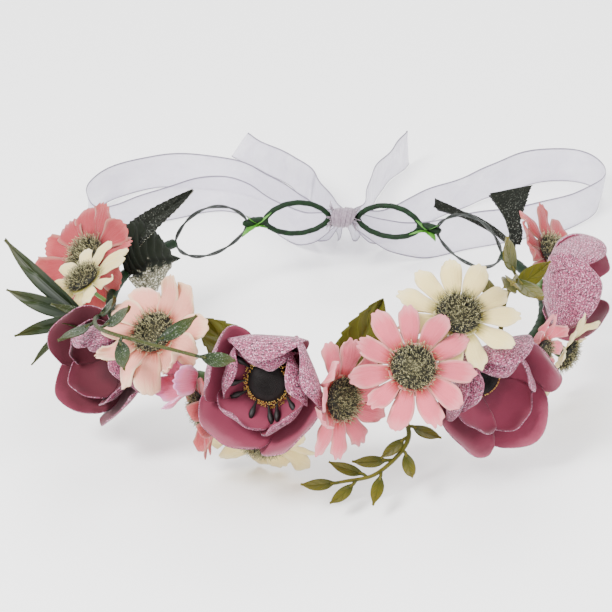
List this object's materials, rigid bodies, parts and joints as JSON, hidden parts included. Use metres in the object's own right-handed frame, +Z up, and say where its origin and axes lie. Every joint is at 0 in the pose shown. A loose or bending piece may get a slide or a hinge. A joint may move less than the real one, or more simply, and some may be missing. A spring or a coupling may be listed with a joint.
{
  "type": "flower crown",
  "caption": "Head wreath of silk daisies and frosted anemones on a taped wire vine, with eyelets behind and a tied organza bow.",
  "frame": {"origin": "middle of the whole crown's outline on the surface it lies on", "axes": "+Z up out of the head opening, -Y towards the front flowers, +Y towards the bow"},
  "size_m": [0.2484, 0.3732, 0.0905],
  "materials": {
    "wire": "dark green plastic-coated florist wire",
    "tape": "stretched green florist tape wound in a spiral",
    "ribbon": "sheer white organza",
    "leaf_olive": "moulded plastic leaf, frosted veins",
    "leaf_velvet": "flocked dark green cloth, pinked edge",
    "petal_pink": "pressed polyester cloth, airbrushed pink",
    "petal_cream": "pressed polyester cloth, airbrushed cream",
    "petal_peach": "pressed polyester cloth, airbrushed peach",
    "petal_salmon": "pressed polyester cloth, airbrushed salmon",
    "petal_violet": "pressed polyester cloth, airbrushed violet pink",
    "petal_glitter": "pink cloth with a frosted metallic weave outside",
    "petal_mauve": "plain mauve cloth",
    "disc_khaki": "flocked plastic fibres",
    "disc_dark": "flocked dark centre"
  },
  "bodies": {
    "crown": {"anemone_front_inner_petals": "petal_mauve", "anemone_front_outer_petals": "petal_glitter", "anemone_front_stamens": "disc_dark", "anemone_front_stem": "disc_dark", "anemone_left_inner_petals": "petal_mauve", "anemone_left_outer_petals": "petal_glitter", "anemone_left_stem": "disc_dark", "anemone_right_inner_petals": "petal_mauve", "anemone_right_outer_petals": "petal_glitter", "anemone_right_stem": "disc_dark", "band_tape": "tape", "band_wire": "wire", "bow_knot": "ribbon", "bud_violet_petals": "petal_violet", "bud_violet_stem": "disc_dark", "centre_joint": "tape", "daisy_cream_back_petals": "petal_cream", "daisy_cream_back_stem": "disc_khaki", "daisy_cream_left_petals": "petal_cream", "daisy_cream_left_stem": "disc_khaki", "daisy_cream_right_petals": "petal_cream", "daisy_cream_right_stem": "disc_khaki", "daisy_cream_under_petals": "petal_cream", "daisy_cream_under_stem": "disc_khaki", "daisy_peach_left_petals": "petal_peach", "daisy_peach_left_stem": "disc_khaki", "daisy_pink_front_petals": "petal_pink", "daisy_pink_front_stem": "disc_khaki", "daisy_pink_small_petals": "petal_pink", "daisy_pink_small_stem": "disc_khaki", "daisy_pink_turned_petals": "petal_pink", "daisy_pink_turned_stem": "disc_khaki", "daisy_salmon_left_petals": "petal_salmon", "daisy_salmon_left_stem": "disc_khaki", "daisy_salmon_nodding_petals": "petal_salmon", "daisy_salmon_nodding_stem": "disc_khaki", "daisy_salmon_right_petals": "petal_salmon", "daisy_salmon_right_stem": "disc_khaki", "eyelet_left": "tape", "eyelet_right": "tape", "front_sprig": "leaf_olive", "left_sprig": "leaf_olive", "olive_leaf_left": "leaf_olive", "olive_leaf_right": "leaf_olive", "peony_right_inner_petals": "petal_mauve", "peony_right_outer_petals": "petal_glitter", "peony_right_stem": "disc_dark", "right_sprig": "leaf_olive", "tape_joint_left": "tape", "tape_joint_right": "tape", "velvet_leaf_broad": "leaf_velvet", "velvet_leaf_long": "leaf_velvet", "wire_loop_left": "wire", "wire_loop_right": "wire"},
    "left_bow_loop": {"bow_loop_left": "ribbon"},
    "right_bow_loop": {"bow_loop_right": "ribbon"},
    "left_tail": {"bow_tail_left": "ribbon"},
    "right_tail": {"bow_tail_right": "ribbon"},
    "spear_spray": {"spear_leaves": "leaf_olive"},
    "strap_spray": {"strap_leaves": "leaf_velvet"}
  },
  "joints": [
    {"name": "left_loop_swing", "type": "hinge", "parent": "crown", "child": "left_bow_loop", "pos_m": [0.00389, 0.03399, 0.03049], "axis": [0, 0, 1], "range_deg": [-4, 12]},
    {"name": "right_loop_swing", "type": "hinge", "parent": "crown", "child": "right_bow_loop", "pos_m": [0.00389, 0.03399, 0.03049], "axis": [0, 0, 1], "range_deg": [-12, 4]},
    {"name": "left_tail_swing", "type": "hinge", "parent": "crown", "child": "left_tail", "pos_m": [0.00389, 0.03399, 0.03049], "axis": [0, 0, 1], "range_deg": [-4, 4]},
    {"name": "right_tail_swing", "type": "hinge", "parent": "crown", "child": "right_tail", "pos_m": [0.00389, 0.03399, 0.03049], "axis": [0, 0, 1], "range_deg": [-4, 4]},
    {"name": "spear_leaves_bend", "type": "hinge", "parent": "crown", "child": "spear_spray", "pos_m": [-0.0765, -0.0898, 0.03049], "axis": [0, 0, 1], "range_deg": [-8, 8]},
    {"name": "strap_leaves_bend", "type": "hinge", "parent": "crown", "child": "strap_spray", "pos_m": [0.07598, -0.00354, 0.03049], "axis": [0, 0, 1], "range_deg": [-8, 8]}
  ]
}
